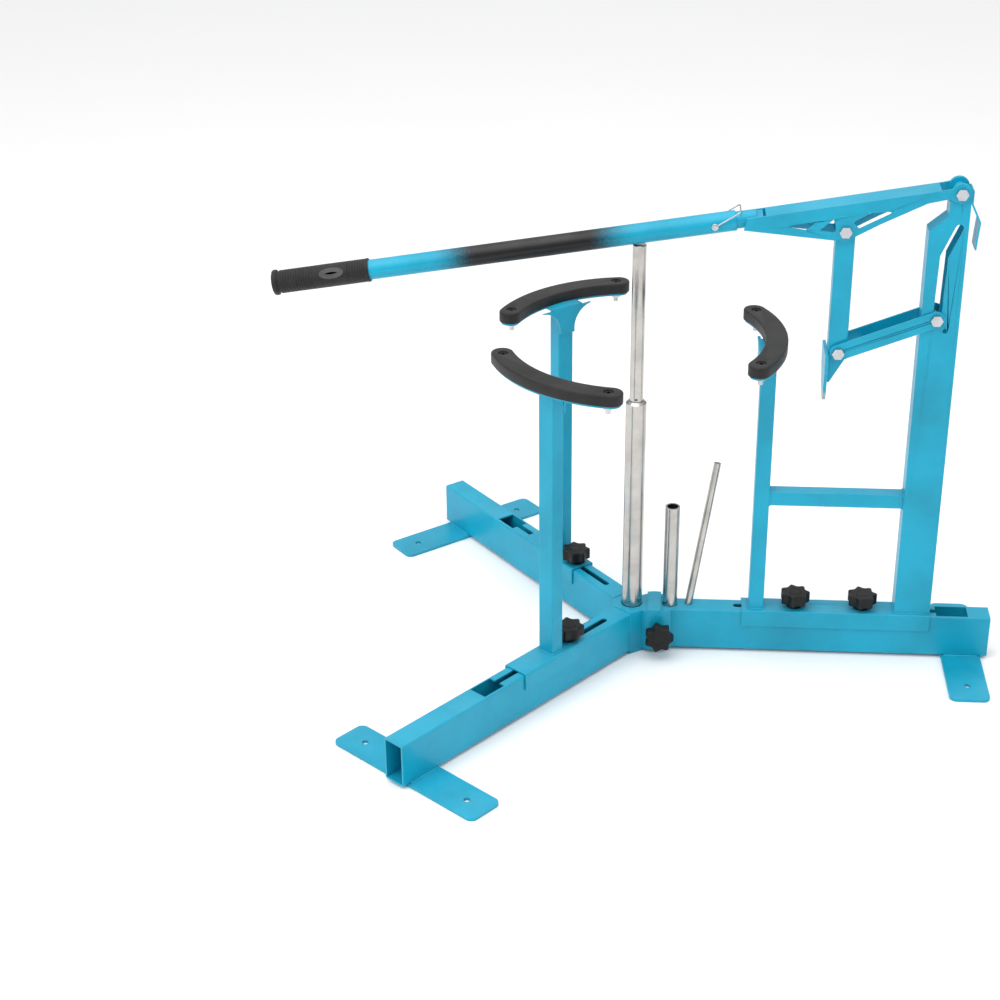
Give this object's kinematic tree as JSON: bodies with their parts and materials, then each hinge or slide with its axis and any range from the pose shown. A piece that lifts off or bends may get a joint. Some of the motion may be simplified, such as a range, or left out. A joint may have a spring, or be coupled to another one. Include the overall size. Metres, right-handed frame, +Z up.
{
  "type": "manual tyre changer",
  "caption": "Floor-standing manual tyre changer with splayed steel legs, sliding pad uprights, a centre post, a slotted tower and a long hand lever that drives a shoe.",
  "frame": {"origin": "on the floor under the centre post's axis", "axes": "+X runs outward along the right leg, +Z up along the post, +Y to the back"},
  "size_m": [1.1935, 1.0473, 0.843],
  "materials": {
    "blue_paint": "smooth satin-gloss powder coat, cyan blue",
    "chrome": "bright plated steel with fine turning marks",
    "zinc": "bright zinc plate",
    "black_plastic": "moulded, fine matt grain",
    "black_rubber": "firm matt rubber"
  },
  "bodies": {
    "base": {"hub_core": "blue_paint", "hub_base_plate": "blue_paint", "post_socket": "blue_paint", "leg_receiver": "blue_paint", "right_leg": "blue_paint", "front_leg": "blue_paint", "back_leg": "blue_paint", "right_foot_plate": "blue_paint", "front_foot_plate": "blue_paint", "back_foot_plate": "blue_paint", "post_tube": "chrome", "post_set_screw": "zinc"},
    "post_rod": {"post_rod": "chrome"},
    "spare_tube": {"spare_axle_tube": "chrome"},
    "spare_rod": {"spare_axle_rod": "chrome"},
    "hub_knob": {"hub_knob": "black_plastic", "hub_knob_stud": "zinc"},
    "front_carriage": {"front_saddle": "blue_paint", "front_upright": "blue_paint", "front_pad_bracket": "blue_paint", "front_pad": "black_rubber", "front_pad_screws": "zinc", "front_slot_nut": "zinc"},
    "back_carriage": {"back_saddle": "blue_paint", "back_upright": "blue_paint", "back_pad_bracket": "blue_paint", "back_pad": "black_rubber", "back_pad_screws": "zinc", "back_slot_nut": "zinc"},
    "front_knob": {"front_knob": "black_plastic", "front_knob_stud": "zinc"},
    "back_knob": {"back_knob": "black_plastic", "back_knob_stud": "zinc"},
    "tower": {"tower_saddle": "blue_paint", "tower_column": "blue_paint", "cross_bar": "blue_paint", "right_upright": "blue_paint", "right_pad_bracket": "blue_paint", "right_pad": "black_rubber", "right_pad_screws": "zinc", "tower_slot_nuts": "zinc", "pivot_sleeve": "blue_paint", "rear_hook": "blue_paint", "pivot_bolt": "zinc"},
    "tower_inner_knob": {"tower_inner_knob": "black_plastic", "tower_inner_knob_stud": "zinc"},
    "tower_outer_knob": {"tower_outer_knob": "black_plastic", "tower_outer_knob_stud": "zinc"},
    "lever": {"lever_channel": "blue_paint", "lever_stub": "blue_paint", "handle_tube": "blue_paint", "handle_grip": "black_rubber", "link_top_bolt": "zinc", "lock_pin": "zinc"},
    "lock_bail": {"lock_pin_bail": "zinc"},
    "pusher": {"pusher_link": "blue_paint", "shoe": "blue_paint", "link_bottom_bolt": "zinc"},
    "guide": {"guide_link": "blue_paint", "slot_bolt": "zinc"}
  },
  "joints": [
    {"name": "post_rod_slide", "type": "slide", "parent": "base", "child": "post_rod", "axis": [0, 0, 1], "range_m": [-0.25, 0]},
    {"name": "spare_tube_lift", "type": "slide", "parent": "base", "child": "spare_tube", "axis": [0, 0, 1], "range_m": [0, 0.19]},
    {"name": "spare_rod_lift", "type": "slide", "parent": "base", "child": "spare_rod", "axis": [0.1605, 0.1566, 0.9745], "range_m": [0, 0.15]},
    {"name": "hub_knob_turn", "type": "hinge", "parent": "base", "child": "hub_knob", "pos_m": [0.048, -0.0345, 0.0425], "axis": [0, -1, 0], "continuous": true},
    {"name": "front_carriage_slide", "type": "slide", "parent": "base", "child": "front_carriage", "axis": [-0.632, -0.7749, 0], "range_m": [-0.05, 0.09]},
    {"name": "back_carriage_slide", "type": "slide", "parent": "base", "child": "back_carriage", "axis": [-0.632, 0.7749, 0], "range_m": [-0.05, 0.09]},
    {"name": "tower_slide", "type": "slide", "parent": "base", "child": "tower", "axis": [1, 0, 0], "range_m": [-0.06, 0]},
    {"name": "front_knob_turn", "type": "hinge", "parent": "front_carriage", "child": "front_knob", "pos_m": [-0.10181, -0.13097, 0.084], "axis": [0, 0, 1], "continuous": true},
    {"name": "back_knob_turn", "type": "hinge", "parent": "back_carriage", "child": "back_knob", "pos_m": [-0.10181, 0.13097, 0.084], "axis": [0, 0, 1], "continuous": true},
    {"name": "tower_inner_knob_turn", "type": "hinge", "parent": "tower", "child": "tower_inner_knob", "pos_m": [0.277, 0, 0.084], "axis": [0, 0, 1], "continuous": true},
    {"name": "tower_outer_knob_turn", "type": "hinge", "parent": "tower", "child": "tower_outer_knob", "pos_m": [0.39, 0, 0.084], "axis": [0, 0, 1], "continuous": true},
    {"name": "lever_hinge", "type": "hinge", "parent": "tower", "child": "lever", "pos_m": [0.487, 0, 0.827], "axis": [0, 1, 0], "range_deg": [0, 60]},
    {"name": "lock_bail_hinge", "type": "hinge", "parent": "lever", "child": "lock_bail", "pos_m": [0.11575, 0, 0.7674], "axis": [0, -1, 0], "range_deg": [0, 120]},
    {"name": "pusher_hinge", "type": "hinge", "parent": "lever", "child": "pusher", "pos_m": [0.316, 0, 0.764], "axis": [0, 1, 0], "range_deg": [-60.5, 0]},
    {"name": "guide_hinge", "type": "hinge", "parent": "pusher", "child": "guide", "pos_m": [0.3175, 0, 0.561], "axis": [0, 1, 0], "range_deg": [0, 64.5]}
  ],
  "couplings": [
    {"joint": "pusher_hinge", "follows": "lever_hinge", "ratio": -1},
    {"joint": "guide_hinge", "follows": "lever_hinge", "ratio": 1.065}
  ]
}
